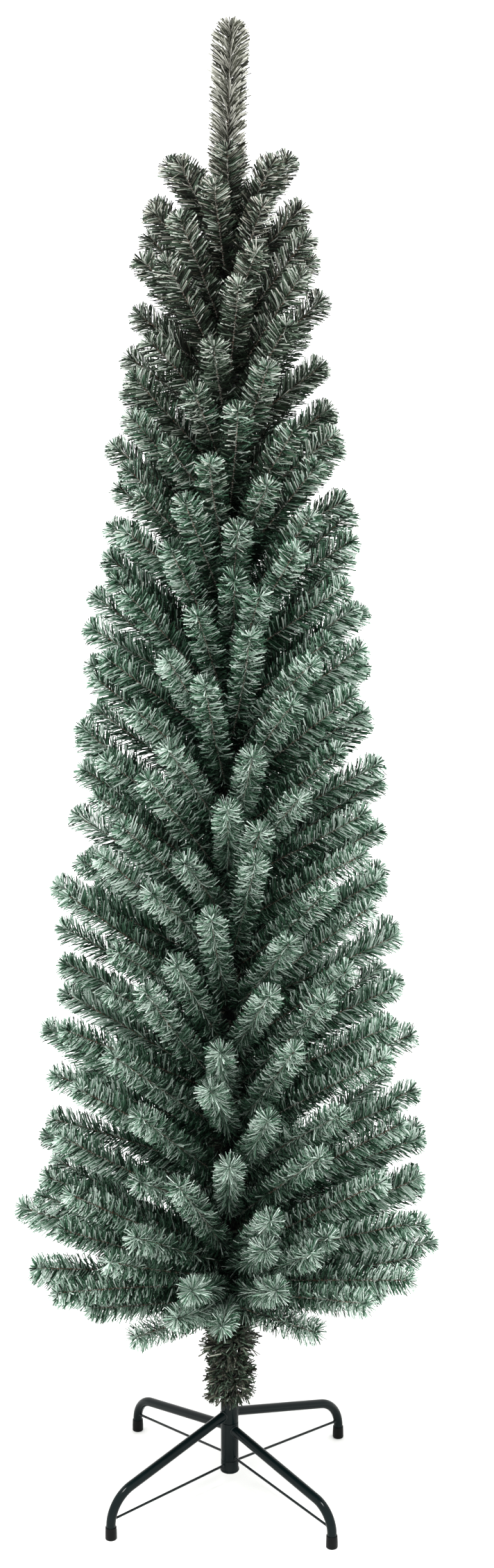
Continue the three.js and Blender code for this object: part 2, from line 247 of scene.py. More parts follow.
def make_piece(
    name: str,
    surfaces: Sequence[Surface],
    materials: Sequence[bpy.types.Material],
    nodes: Sequence[str] = (),
    shades: Array | None = None,
    crease: float | None = 40.0,
) -> bpy.types.Object:
    """Joins surfaces into one mesh object, in metres, that belongs to the tree's one body.

    Args:
        name: The piece's name.
        surfaces: What is joined.
        materials: The piece's finishes.
        nodes: The frame's nodes that the piece stands for.
        shades: The number of each triangle's finish, where there are several.
        crease: The angle past which an edge stays sharp, or None for flat faces.

    Returns:
        The new object.
    """
    starts = np.cumsum([0, *(len(points) for points, _ in surfaces)])
    points = np.concatenate([points for points, _ in surfaces]) / METRE
    faces = np.concatenate([faces + start for (_, faces), start in zip(surfaces, starts)])
    mesh = bpy.data.meshes.new(name)
    mesh.vertices.add(len(points))
    mesh.vertices.foreach_set("co", points.astype(np.float32).ravel())
    mesh.loops.add(faces.size)
    mesh.loops.foreach_set("vertex_index", faces.astype(np.int32).ravel())
    mesh.polygons.add(len(faces))
    mesh.polygons.foreach_set("loop_start", np.arange(0, faces.size, 3, dtype=np.int32))
    for material in materials:
        mesh.materials.append(material)
    if shades is not None:
        mesh.polygons.foreach_set("material_index", shades.astype(np.int32))
    mesh.polygons.foreach_set("use_smooth", np.full(len(faces), crease is not None))
    mesh.update(calc_edges=True)
    if crease is not None:
        mesh.set_sharp_from_angle(angle=math.radians(crease))
    piece = bpy.data.objects.new(name, mesh)
    bpy.context.scene.collection.objects.link(piece)
    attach(piece, BODY)
    if nodes:
        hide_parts(*nodes)
    LOG.info("%s: %d triangles", name, len(faces))
    return piece


# Finishes


def linear(colour: str) -> tuple[float, float, float, float]:
    """Turns an sRGB hex colour such as "#20242a" into linear RGBA by the standard's curve."""
    parts = np.array([int(colour[k:k + 2], 16) for k in (1, 3, 5)]) / 255.0
    return (*np.where(parts <= 0.04045, parts / 12.92, ((parts + 0.055) / 1.055) ** 2.4).tolist(), 1.0)


def add_node(
    tree: bpy.types.NodeTree, kind: str, settings: Mapping[str | int, object],
    links: Mapping[str | int, bpy.types.NodeSocket],
) -> bpy.types.Node:
    """Adds one shader node with its settings and links.

    Args:
        tree: The node tree that gets the node.
        kind: The node's type.
        settings: Values by an input's name or number, or by a property's name.
        links: Sockets to join to inputs, by the input's name or number.

    Returns:
        The new node.
    """
    node = tree.nodes.new(kind)
    for key, value in settings.items():
        if isinstance(key, int) or key in node.inputs:
            node.inputs[key].default_value = value
        else:
            setattr(node, key, value)
    for key, socket in links.items():
        tree.links.new(socket, node.inputs[key])
    return node


@dataclass(frozen=True)
class NeedleFilm:
    """PVC film slit into needles and sprayed with frost: matt, and paler the more frost stuck."""

    name: str
    colour: str
    roughness: float = 0.62
    specular: float = 0.25

    def material(self) -> bpy.types.Material:
        """A plain base colour, because the colours are dealt out needle by needle.

        Returns:
            The new material.
        """
        material = bpy.data.materials.new(self.name)
        material.use_nodes = True
        shader = material.node_tree.nodes["Principled BSDF"]
        shader.inputs["Base Color"].default_value = linear(self.colour)
        shader.inputs["Roughness"].default_value = self.roughness
        shader.inputs["Specular IOR Level"].default_value = self.specular
        return material


@dataclass(frozen=True)
class Coating:
    """A coat or skin whose tone drifts in patches and whose gloss and relief come from a grain."""

    name: str
    colour: str
    drift_colour: str
    patch_size: float
    grain_size: float
    grain_height: float
    roughness: tuple[float, float]
    specular: float = 0.5
    octaves: tuple[float, float] = (3.0, 2.0)  # layers of noise in patches and grain

    def material(self) -> bpy.types.Material:
        """Mixes two tones by a coarse noise, and takes roughness and bump from a fine one.

        Returns:
            The new material.
        """
        material = bpy.data.materials.new(self.name)
        material.use_nodes = True
        tree = material.node_tree
        place = {"Vector": add_node(tree, "ShaderNodeTexCoord", {}, {}).outputs["Object"]}
        noise, sizes = "ShaderNodeTexNoise", zip((self.patch_size, self.grain_size), self.octaves)
        settings = [{"Scale": METRE / size, "Detail": octaves} for size, octaves in sizes]
        patch, grain = (add_node(tree, noise, each, place).outputs["Fac"] for each in settings)
        # A colour mix has its factor at socket 0 and its two colours at sockets 6 and 7.
        tones = {"data_type": "RGBA", 6: linear(self.colour), 7: linear(self.drift_colour)}
        tone = add_node(tree, "ShaderNodeMix", tones, {0: patch})
        span = dict(zip(("To Min", "To Max"), self.roughness))
        gloss = add_node(tree, "ShaderNodeMapRange", span, {"Value": grain})
        depth = {"Strength": 1.0, "Distance": self.grain_height / METRE}
        bump = add_node(tree, "ShaderNodeBump", depth, {"Height": grain})
        shader = tree.nodes["Principled BSDF"]
        shader.inputs["Specular IOR Level"].default_value = self.specular
        tree.links.new(tone.outputs[2], shader.inputs["Base Color"])
        tree.links.new(gloss.outputs["Result"], shader.inputs["Roughness"])
        tree.links.new(bump.outputs["Normal"], shader.inputs["Normal"])
        return material


FROSTS = ("bare", "traced", "dusted", "frosted", "white")  # a tint's films, by how much frost stuck


class Tint(Enum):
    """Three batches of film: bluish on the lower sprays, mossy on the upper ones, olive at the top."""

    BLUISH = ("bluish", ("#0c1d13", "#1e402b", "#446852", "#829e8d", "#c4d3ca"))
    MOSSY = ("mossy", ("#10180f", "#243526", "#4d5e4e", "#899689", "#c4cbc2"))
    OLIVE = ("olive", ("#12120e", "#2a2b22", "#55574b", "#909186", "#c4c4bb"))

    def films(self) -> list[NeedleFilm]:
        """The film with no frost first and the whitest last."""
        batch, colours = self.value
        return [NeedleFilm(f"{batch}_pvc_film_{frost}", colour) for frost, colour in zip(FROSTS, colours)]


def film_materials() -> list[bpy.types.Material]:
    """The films of every tint in turn, so that film f of tint t is number f + t len(FROSTS)."""
    return [film.material() for tint in Tint for film in tint.films()]


# Stoved enamel on steel tube: dark, wet looking, with a faint orange peel in its highlights.
STAND_ENAMEL = Coating("stoved_enamel", "#050d0e", "#0a1415", 35.0, 3.0, 0.02, (0.08, 0.16), 0.09)
# The same enamel where it ran together over welds and rods: thick, with the brightest highlights.
POOLED_ENAMEL = Coating("pooled_enamel", "#050d0e", "#0a1415", 35.0, 3.0, 0.01, (0.06, 0.12), 0.2)
# Powder coat on the pole: duller than the enamel, with a fine pebbled skin.
POLE_PAINT = Coating("powder_coat", "#0e1112", "#151919", 28.0, 1.2, 0.03, (0.34, 0.5), 0.12)
# Moulded polyethylene caps: black, with a soft satin grain from the mould.
FOOT_PLASTIC = Coating("moulded_polyethylene", "#060707", "#0b0c0c", 9.0, 0.9, 0.03, (0.3, 0.45), 0.08)
# Twisted lacquered wire: reddish brown, with grey frost caught on it in patches.
STEM_WIRE = Coating("lacquered_wire", "#4e3124", "#6d5a4b", 14.0, 1.5, 0.04, (0.4, 0.6))
# The same wire under sprayed frost: pale and matt, with some brown showing through.
FROSTED_WIRE = Coating("frosted_wire", "#b4b9b2", "#7d7a70", 9.0, 1.5, 0.04, (0.6, 0.8))
# Matt studio floor: pale, rolled smooth.
FLOOR_PAINT = Coating("matt_floor_paint", "#f4f4f2", "#efefed", 600.0, 20.0, 0.02, (0.8, 0.9))


# Pole


@dataclass
class Pole:
    """Two steel tubes: the upper one is swaged into the lower one."""

    foot: float = 24.3
    lower_radius: float = 9.5
    joint: float = 900.0
    swage: float = 12.0
    upper_radius: float = 8.0
    top: float = 1612.0
    edge: float = 0.8
    sides: int = 48
    seam_height: float = 0.18
    seam_width: float = 0.1  # radians

    def radius_at(self, height: Array | float) -> Array:
        """The tube's radius at a height."""
        return np.where(np.less(height, self.joint), self.lower_radius, self.upper_radius)

    def build(self) -> Surface:
        """Turns the tubes' profile, raised along the weld seam: r + seam exp(-(a / width)^2).

        Returns:
            The pole's surface.
        """
        lower, upper, lip = self.lower_radius, self.upper_radius, self.edge
        mouth = self.joint - self.swage
        profile = [(0.0, self.foot), (lower, self.foot), (lower, mouth - 3 * lip)]
        profile += [(lower + lip / 2, mouth - 2 * lip), (lower + lip / 2, mouth)]
        profile += [(upper + lip / 2, mouth + lip), (upper, self.joint)]
        profile += [(upper, self.top - lip), (upper - lip, self.top), (0.0, self.top)]
        points, faces = turned(profile, self.sides)
        x, y, _ = points.T
        seam = self.seam_height * np.exp(-(np.arctan2(x, y) / self.seam_width) ** 2)
        radius = np.maximum(np.hypot(x, y), upper / 2)  # not 0 where the ends close
        swell = 1.0 + seam / radius
        return points * np.stack([swell, swell, np.ones_like(swell)], axis=-1), faces

    def dress(self) -> None:
        """Makes the pole's one piece in powder coat."""
        make_piece("pole_tubes", [self.build()], [POLE_PAINT.material()], ["pole"])


# Stand


@dataclass
class LegPair:
    """What two opposite legs share: where they leave the pole, and how."""

    axis_z: float  # where the straight run would meet the pole's axis
    drop: float  # fall of the straight run
    strut_z: float


@dataclass
class Leg:
    """A bent steel tube, its strut and its foot cap, laid out in the plane of one bearing."""

    name: str
    bearing: float
    pair: LegPair
    collar_radius: float
    radius: float = 6.0
    sunk: float = 2.0  # how far it starts inside the collar
    foot_circle: float = 192.0
    upright_below: float = 17.0
    end: float = 2.3
    run_steps: int = 12
    bend_steps: int = 28
    sides: int = 32
    strut_radius: float = 1.6
    strut_sunk: float = 0.5
    strut_reach: float = 185.6
    strut_end_z: float = 24.5
    strut_steps: int = 12
    strut_sides: int = 14
    weld: float = 1.25
    weld_waves: tuple = ((9.0, 0.16), (4.0, 0.1))  # lumps round the bead and their height
    weld_steps: int = 40
    weld_sides: int = 10
    inner_drop: tuple[float, float, float] = (2.0, 2.9, 2.5)
    outer_drop: tuple[float, float, float] = (2.2, 2.6, 2.4)
    outer_drop_past: float = 0.2  # how far past the strut's end it sits
    cap_radius: float = 7.3
    cap_mouth: float = 6.9
    cap_height: float = 16.0
    cap_bore: float = 6.1
    cap_floor: float = 2.0
    cap_round: float = 1.4
    cap_waist: float = 0.55  # share of the height where it narrows
    cap_taper: float = 0.1  # how much narrower it is there

    def path(self) -> Array:
        """The centre line: a straight run, an arc tangent to it and the upright end.

        Returns:
            Points in the plane of X and Z.
        """
        fall = math.radians(self.pair.drop)
        corner = self.pair.axis_z - self.foot_circle * math.tan(fall)
        tangent = corner - self.upright_below
        bend = tangent / math.tan((math.pi / 2 - fall) / 2)
        start = self.collar_radius - self.sunk
        bend_start = self.foot_circle - tangent * math.cos(fall)
        reach = np.linspace(start, bend_start, self.run_steps)[:-1]
        angle = np.linspace(math.pi / 2 - fall, 0.0, self.bend_steps)
        run = [reach, self.foot_circle - bend + bend * np.cos(angle), [self.foot_circle] * 2]
        heights = [self.pair.axis_z - reach * math.tan(fall), self.upright_below + bend * np.sin(angle)]
        rho = np.concatenate(run)
        z = np.concatenate([*heights, [self.upright_below / 2, self.end]])
        return np.stack([rho, np.zeros_like(rho), z], axis=-1)

    def leg_tube(self) -> Surface:
        """A round carried along the leg's centre line."""
        return tube(self.path(), AWAY, self.radius, self.sides)

    def strut(self) -> Surface:
        """A thin rod from the collar down to the foot of the leg.

        Returns:
            The rod's surface.
        """
        start = np.array([self.collar_radius - self.strut_sunk, 0.0, self.pair.strut_z])
        end = np.array([self.strut_reach, 0.0, self.strut_end_z])
        path = start + np.linspace(0.0, 1.0, self.strut_steps)[:, None] * (end - start)
        return tube(path, AWAY, self.strut_radius, self.strut_sides)

    def welds(self, rng: Rng) -> list[Surface]:
        """A lumpy bead round the leg's upper end, and a drop of weld at each end of the strut.

        The bead follows the curve where the leg's tube meets the collar: at angle a round the
        tube, y = r cos a, x = sqrt(R^2 - y^2) and z lies r sin a / cos(drop) off the centre line.

        Args:
            rng: Where the lumps' phases come from.

        Returns:
            The bead and the two drops.
        """
        fall = math.radians(self.pair.drop)
        angle = circle(self.weld_steps)
        y = self.radius * np.cos(angle)
        x = np.sqrt(self.collar_radius**2 - y**2)
        z = self.pair.axis_z - x * math.tan(fall) + self.radius * np.sin(angle) / math.cos(fall)
        lumps = np.ones_like(angle)
        for waves, height in self.weld_waves:
            lumps += height * np.sin(waves * angle + rng.uniform(*PHASES))
        ring = tube(np.stack([x, y, z], axis=-1), OUT, self.weld * lumps, self.weld_sides, loop=True)
        inner = np.array([self.collar_radius, 0.0, self.pair.strut_z])
        outer = np.array([self.strut_reach + self.outer_drop_past, 0.0, self.strut_end_z])
        return [ring, bead(inner, self.inner_drop, rng), bead(outer, self.outer_drop, rng)]

    def cap(self) -> Surface:
        """A cup turned round the leg's end, a little wider at its foot, with rounded edges.

        Returns:
            The cup's surface, round the pole's axis.
        """
        soft = self.cap_round
        lip = (self.cap_mouth - self.cap_bore) / 2
        profile = [(0.0, 0.0), *rounded((self.cap_radius - soft, soft), soft, -90.0)]
        profile += [(self.cap_radius - self.cap_taper, self.cap_height * self.cap_waist)]
        profile += rounded((self.cap_mouth - lip, self.cap_height - lip), lip, 0.0)
        profile += rounded((self.cap_bore + lip, self.cap_height - lip), lip, 90.0)
        profile += [(self.cap_bore, self.cap_floor), (0.0, self.cap_floor)]
        return turned(profile, self.sides)


@dataclass
class Stand:
    """Three collars round the pole's foot and four legs, one pair of which turns to fold."""

    pole: Pole
    collar_radius: float = 11.3
    flange_radius: float = 12.2
    flange_height: float = 3.0
    edge: float = 0.6
    turn: float = -4.55  # how far it stands from square to the front view
    sides: int = 64
    seed: int = 11

    def legs(self) -> list[Leg]:
        """The four legs, a quarter turn from one another.

        Returns:
            Legs of the two pairs by turns.
        """
        upper = LegPair(axis_z=103.1, drop=15.4, strut_z=31.5)
        lower = LegPair(axis_z=82.5, drop=10.6, strut_z=42.6)
        places = (("front_right", -45.0, lower), ("back_right", 45.0, upper))
        places += (("back_left", 135.0, lower), ("front_left", 225.0, upper))
        return [Leg(name, side + self.turn, pair, self.collar_radius) for name, side, pair in places]

    def ring(self, low: float, high: float, foot_radius: float | None = None) -> Surface:
        """A collar with rounded edges between two heights, with or without a flange at its foot.

        Args:
            low: Height of its foot.
            high: Height of its top.
            foot_radius: The flange's radius, if it has one.

        Returns:
            The turned collar.
        """
        inner, outer, soft = self.pole.lower_radius + FIT, self.collar_radius, self.edge
        profile = [(inner, low)]
        if foot_radius is None:
            profile += rounded((outer - soft, low + soft), soft, -90.0)
        else:
            flange = self.flange_height
            profile += rounded((foot_radius - 2 * soft, low + 2 * soft), 2 * soft, -90.0)
            profile += rounded((foot_radius - soft, low + flange - soft), soft, 0.0)
            profile += [(outer, low + flange + soft)]
        profile += [*rounded((outer - soft, high - soft), soft, 0.0), (inner, high)]
        return turned(profile, self.sides, closed=True)

    def dress(self) -> None:
        """Makes the collars, legs, struts and welds in enamel and the caps in plastic."""
        coats = (STAND_ENAMEL, POOLED_ENAMEL, FOOT_PLASTIC)
        enamel, pooled, plastic = (coat.material() for coat in coats)
        rng = np.random.default_rng(self.seed)
        for name in ("stand_lower_collar", "stand_turning_sleeve", "stand_upper_collar"):
            low, high = (corner.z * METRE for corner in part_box(name))
            flange = self.flange_radius if name == "stand_lower_collar" else None
            make_piece(f"{name}_ring", [self.ring(low, high, flange)], [enamel], [name])
        for leg in self.legs():
            side, name = leg.bearing, leg.name
            bar, rod = ([placed(shape, side)] for shape in (leg.leg_tube(), leg.strut()))
            make_piece(f"leg_tube_{name}", bar, [enamel], [f"leg_{name}"])
            make_piece(f"strut_rod_{name}", rod, [pooled], [f"strut_{name}"])
            welds = [placed(weld, side) for weld in leg.welds(rng)]
            make_piece(f"welds_{name}", welds, [pooled])
            cup = [placed(leg.cap(), side, leg.foot_circle)]
            make_piece(f"foot_cup_{name}", cup, [plastic], [f"foot_cap_{name}"])


# Needles


# A needle's triangles: the first two are widest at its root, and the last two at its tip.
NEEDLE_FACES = np.array([[0, 1, 2], [0, 3, 1], [0, 2, 3], [1, 3, 2]])
NEEDLE_ENDS = np.array([-0.5, -0.5, 0.5, 0.5])  # the end that each belongs to
FACES = len(NEEDLE_FACES)


@dataclass(frozen=True)
class Needle:
    """One slit of film: a slim, slightly twisted strip with blunt ends."""

    length: float = 22.5
    length_spread: float = 1.2
    width: float = 1.2
    width_spread: float = 0.15
    least_width: float = 0.7
    twist: float = 12.0  # turn from root to tip
    roll_spread: float = 20.0  # how far needles lie off the plane of their stem

    def build(
        self, root: Array, along: Array, stem: Array, rng: Rng, size: Array | float = 1.0
    ) -> Surface:
        """Makes many needles at once.

        A needle is a flat tetrahedron between two edges square to it: one at its root, mostly in
        the plane of needle and stem, and one at its tip, turned from the first by the twist.

        Args:
            root: Where each needle leaves its stem.
            along: The direction of each needle.
            stem: The direction of its stem.
            rng: Where lengths, widths and turns come from.
            size: Scale of the length, for all needles or for each.

        Returns:
            The needles, FACES triangles each.
        """
        count = len(root)
        length = (size * rng.normal(self.length, self.length_spread, count))[:, None]
        width = np.maximum(rng.normal(self.width, self.width_spread, count), self.least_width)
        half = width[:, None] / 2
        roll = np.radians(rng.normal(0.0, self.roll_spread, count))
        flat = turned_about(square_to(stem, along), along, roll)
        at_root = flat * half
        at_tip = turned_about(flat, along, np.radians(self.twist)) * half
        tip = root + along * length
        points = np.stack([root - at_root, root + at_root, tip - at_tip, tip + at_tip], axis=1)
        faces = NEEDLE_FACES + points.shape[1] * np.arange(count)[:, None, None]
        return points.reshape(-1, 3), faces.reshape(-1, 3)


# Crown


def seeded_draws(seed: int) -> Callable[[], float]:
    """A linear congruential generator: one seed always gives the same run of numbers from 0 to 1.

    Args:
        seed: The generator's first state.

    Returns:
        A function that gives the next number.
    """
    factor, step, span = 1664525, 1013904223, 2**32
    state = seed

    def draw() -> float:
        """The next number of the run."""
        nonlocal state
        state = (state * factor + step) % span
        return state / span

    return draw


@dataclass(frozen=True)
class Stems:
    """Centre lines of stems, a row each, that bend evenly from a first direction to a last one."""

    root: Array
    first: Array
    last: Array
    length: Array
    upper_side: Array  # where angles round a stem are counted from
    tier: Array
    height: Array  # share of the crown's height, from 0 at the hem to 1 at the top
    upright: Array  # 1 for the leader and 0 for branches

    def chosen(self, mask: Array) -> "Stems":
        """The stems that a mask picks."""
        return Stems(**{name: values[mask] for name, values in vars(self).items()})

    def point(self, stem: Array, share: Array) -> Array:
        """Points at shares s of the length L: root + L ((s - s^2 / 2) first + s^2 / 2 last)."""
        run, s = self.length[stem, None], share[:, None]
        return self.root[stem] + run * ((s - s**2 / 2) * self.first[stem] + s**2 / 2 * self.last[stem])

    def axes(self, stem: Array, share: Array) -> tuple[Array, Array, Array]:
        """Directions at shares s of the length: along the stem it is (1 - s) first + s last, scaled.

        Args:
            stem: The number of each point's stem.
            share: Each point's share of that stem's length.

        Returns:
            Unit vectors along the stems, towards their upper side and across both.
        """
        mix = share[:, None]
        along = unit(self.first[stem] * (1.0 - mix) + self.last[stem] * mix)
        beside = square_to(self.upper_side[stem], along)
        return along, beside, np.cross(along, beside)


@dataclass
class Crown:
    """Tiers of bottle-brush branches round the pole and the upright leader on top."""

    pole: Pole
    needle: Needle = Needle()
    tier_heights: Steps = ((0.0, 258.0), (0.15, 326.0), (1.0, 1566.0))
    tier_turn: float = 11.5
    full_tier: int = 12  # branches on most tiers
    top_tier: int = 8
    short_tiers_from: int = 22
    stagger_height: float = 4.0
    stagger_slope: float = 2.5
    growth_seed: int = 2109
    bearing_spread: float = 6.0
    slope_spread: float = 4.0
    lift_spread: float = 4.0
    sway_spread: float = 5.0
    shortening: float = 0.12
    collar_wall: float = 6.2
    neck: float = 2.5
    at_tip: float = 10.0  # how far short of the outline a stem ends
    tree_height: float = 1800.0
    tip_lean: float = 3.0
    slopes: Steps = (
        (0.0, 9.0), (0.037, 13.0), (0.074, 18.0), (0.148, 28.0),
        (0.35, 32.0), (0.8, 39.0), (0.93, 45.0), (1.0, 51.0),
    )
    front_raise: float = 6.0  # how much steeper branches to front and back grow
    hem: Steps = ((0.0, 0.76), (0.037, 0.98), (0.075, 1.0))  # share of the outline's reach, low down
    # The outline's two cones: a radius, its height, and how much it narrows a millimetre up.
    outline: tuple = ((291.0, 276.0, 0.14), (127.0, 1552.0, 0.48))
    # Brushes
    needles_per_mm: float = 4.3
    leader_fullness: float = 0.9  # how much closer the needles stand on the leader
    leader_opening: float = 5.0  # how much wider they open there
    leader_length: float = 0.1  # how much longer they are there
    needle_pitch: float = 8.5
    opening: float = 54.0  # angle between a needle and its stem
    opening_spread: float = 5.0
    opening_limits: tuple[float, float] = (2.0, 85.0)
    turn_spread: float = 0.5  # radians
    tip_needles: int = 44  # further needles that fan out round the end of a stem
    tip_fan: float = 11.0  # length of stem that they are caught in
    tip_opening: float = 85.0
    brush_end: float = 9.5  # how far the cap of needles reaches past the stem
    brush_radius: float = 18.5
    # Frost, as a level that the films' steps are counted on, with painted shade added towards the stems'
    # roots
    frost_steps: tuple = (0.12, 0.34, 0.56, 0.78)
    frost: float = 0.36
    frost_lost: float = 0.2  # how much less there is on the top tiers
    frost_tiers: tuple[float, float] = (0.45, 0.95)  # shares of the height between which it is lost
    frost_outward: float = 0.15  # how much more lies on needles that point away from the pole
    frost_and_painted_shade_along: float = 0.5  # how much paler a stem's tip is than its root: more frost at the tip, and painted shade of the crown's inside towards the root
    frost_and_painted_shade_middle: float = 0.6  # the share of a stem's length at which that makes no difference
    frost_outer_half: float = 0.2  # how much more lies on a needle's outer half
    frost_facing: float = 0.16  # how much more lies on faces that look away from the pole
    frost_sheltered: float = -0.25  # the least that pointing or looking away counts for
    frost_rise: float = 45.0  # how far above straight outwards the frost came from
    stem_frost_spread: float = 0.04
    needle_frost_spread: float = 0.42
    leader_frost: float = 0.3  # how much more lies on the leader
    upper_batch: float = 1.5  # how many tints the top tiers' film has gone on from the first
    upper_batch_tiers: tuple[float, float] = (0.62, 1.0)
    seed: int = 5
    # Stems
    wire_long: float = 1.9
    wire_short: float = 1.1
    wire_pitch: float = 11.0
    wire_stations: int = 44
    wire_sunk: float = 1.0  # how far it starts inside its socket
    wire_end: float = 0.3  # size of its last section
    wire_frost_from: float = 0.3
    wire_frost_spread: float = 0.35
    # Brackets
    bracket_height: float = 15.0
    bracket_edge: float = 1.0
    bracket_sides: int = 32
    socket_radius: float = 2.6
    socket_span: tuple[float, float] = (-4.0, 7.0)  # from inside the bracket to out along the stem
    socket_steps: int = 3
    socket_sides: int = 10
    # The first tier of each piece, so that no piece has too many triangles
    stretches: tuple[int, ...] = (0, 3, 6, 9, 12, 16, 20)

    def reach(self, root_radius: float, root_z: float, slope: float) -> float:
        """How far out from its root a branch of one slope meets the nearer of the outline's cones."""
        rise = math.tan(math.radians(slope))
        return min((r - n * (root_z - at) - root_radius) / (1 + n * rise) for r, at, n in self.outline)

    def grow(self) -> Stems:
        """Lays out every branch by the seeded rule that the whole tree grows by, and the leader last.

        Returns:
            The branches' centre lines, tier by tier, and the leader's.
        """
        draw = seeded_draws(self.growth_seed)

        def either_way(most: float) -> float:
            """A draw of up to the most, one way or the other."""
            return most * (2 * draw() - 1)

        tiers = sum(name.startswith("tier_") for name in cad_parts)
        rows = []
        for tier in range(tiers):
            share = tier / (tiers - 1)
            collar_z = read_off(self.tier_heights, share)
            root_radius = self.pole.radius_at(collar_z) + GAP + self.collar_wall + self.neck
            count = self.full_tier if tier < self.short_tiers_from else self.top_tier
            for place in range(count):
                step = 1 if place % 2 else -1
                root_z = collar_z + self.stagger_height * step
                bearing = tier * self.tier_turn + 360 * place / count + either_way(self.bearing_spread)
                slope = read_off(self.slopes, share) + self.stagger_slope * step
                slope += self.front_raise * math.sin(math.radians(bearing)) ** 2
                slope += either_way(self.slope_spread)
                lift = either_way(self.lift_spread)
                sway = either_way(self.sway_spread)
                fullness = read_off(self.hem, share) * (1 - self.shortening * draw())
                out = self.reach(root_radius, root_z, slope) * fullness
                length = out / math.cos(math.radians(slope)) - self.at_tip
                root = heading(bearing, 0.0) * root_radius + UP * root_z
                first = heading(bearing - sway, slope - lift)
                last = heading(bearing + sway, slope + lift)
                rows.append((root, first, last, length, UP, tier, share, 0.0))
        top = UP * (self.pole.top + GAP)
        run = self.tree_height - self.at_tip - top[2]
        rows.append((top, UP, heading(0.0, 90.0 - self.tip_lean), run, AWAY, tiers, 1.0, 1.0))
        return Stems(*(np.array(column) for column in zip(*rows)))

    def brushes(self, stems: Stems, rng: Rng) -> tuple[Surface, Array]:
        """Sets needles along stems in a double spiral, with a round cap of them at each tip.

        A needle stands at angle p = 2 pi s / pitch round its stem, half a turn further for every
        other one, and leans forward by the opening: d = cos(o) along + sin(o) (cos p up + sin p
        across). The end of a needle stays inside the half ellipsoid that caps the brush.

        Args:
            stems: The stems that are set.
            rng: Where the spread of places, turns and frost comes from.

        Returns:
            The needles' surface and the number of each triangle's film.
        """
        per_mm = self.needles_per_mm * (1.0 + self.leader_fullness * stems.upright)
        body = np.round(stems.length * per_mm).astype(int)
        counts = body + self.tip_needles
        stem = np.repeat(np.arange(len(counts)), counts)
        rank = np.arange(counts.sum()) - np.repeat(np.cumsum(counts) - counts, counts)
        chance = rng.uniform(0.0, 1.0, len(rank))
        at_end = rank >= body[stem]
        length = stems.length[stem]
        station = np.where(at_end, length - self.tip_fan * chance, length * (rank + chance) / body[stem])
        share = station / length
        along, beside, across = stems.axes(stem, share)
        spiral = FULL_TURN * station / self.needle_pitch + np.pi * (rank % 2)
        angle = (spiral + rng.normal(0.0, self.turn_spread, len(rank)))[:, None]
        outward = np.cos(angle) * beside + np.sin(angle) * across
        upright = stems.upright[stem]
        spread = self.opening + self.leader_opening * upright
        spread = np.where(at_end, self.tip_opening * rng.uniform(0.0, 1.0, len(rank)), spread)
        spread = spread + rng.normal(0.0, self.opening_spread, len(rank))
        opening = np.radians(np.clip(spread, *self.opening_limits))
        lean = np.cos(opening)[:, None] * along + np.sin(opening)[:, None] * outward
        cap = np.hypot(np.cos(opening) / self.brush_end, np.sin(opening) / self.brush_radius)
        room = (length - station) * np.cos(opening) + 1.0 / cap
        size = np.minimum(1.0 + self.leader_length * upright, room / self.needle.length)
        surface = self.needle.build(stems.point(stem, share), lean, along, rng, size)
        return surface, self.films(stems, stem, share, outward, surface, rng)

    def films(
        self, stems: Stems, stem: Array, share: Array, outward: Array, surface: Surface, rng: Rng
    ) -> Array:
        """Deals out films by how much frost stuck and by painted shade near the roots, and tints by the
        height of the stem.

        Frost is a sum: it is higher on faces that look outwards and up, near a stem's tip and on
        a needle's outer half, and lower on the top tiers and towards a stem's root, where the
        level also holds painted shade of the crown's inside.

        Args:
            stems: The stems that are set.
            stem: The number of each needle's stem.
            share: Each needle's share of the stem's length.
            outward: The side of the stem that it stands on.
            surface: The needles.
            rng: Where the spread comes from.

        Returns:
            The number of each triangle's film.
        """
        upright = stems.upright[stem]
        away = unit(stems.point(stem, share) * LEVEL + self.frost_rise * UP)
        by_stem = self.frost - self.frost_lost * ease(*self.frost_tiers, stems.height)
        by_stem += rng.normal(0.0, self.stem_frost_spread, len(stems.length))
        level = by_stem[stem] + rng.normal(0.0, self.needle_frost_spread, len(stem))
        # Paler towards a stem's tip, where more frost stuck, and darker towards its root: partly less
        # frost there, partly painted shade of the crown's inside.
        frost_and_painted_shade_from_middle = self.frost_and_painted_shade_along * (share - self.frost_and_painted_shade_middle)
        level += np.where(upright > 0.0, self.leader_frost, frost_and_painted_shade_from_middle)
        level += self.frost_outward * np.maximum(np.sum(outward * away, axis=1), self.frost_sheltered)
        facing = np.sum(face_normals(surface) * np.repeat(away, FACES, axis=0), axis=1)
        by_face = self.frost_outer_half * np.tile(NEEDLE_ENDS, len(stem))
        by_face += self.frost_facing * np.maximum(facing, self.frost_sheltered)
        frosts = np.digitize(np.repeat(level, FACES) + by_face, self.frost_steps)
        last = len(Tint) - 1
        upper = self.upper_batch * ease(*self.upper_batch_tiers, stems.height)
        tint = np.where(upright > 0.0, last, upper[stem]) + rng.uniform(0.0, 1.0, len(stem))
        tint = np.minimum(tint, last).astype(int)
        return frosts + len(FROSTS) * np.repeat(tint, FACES)

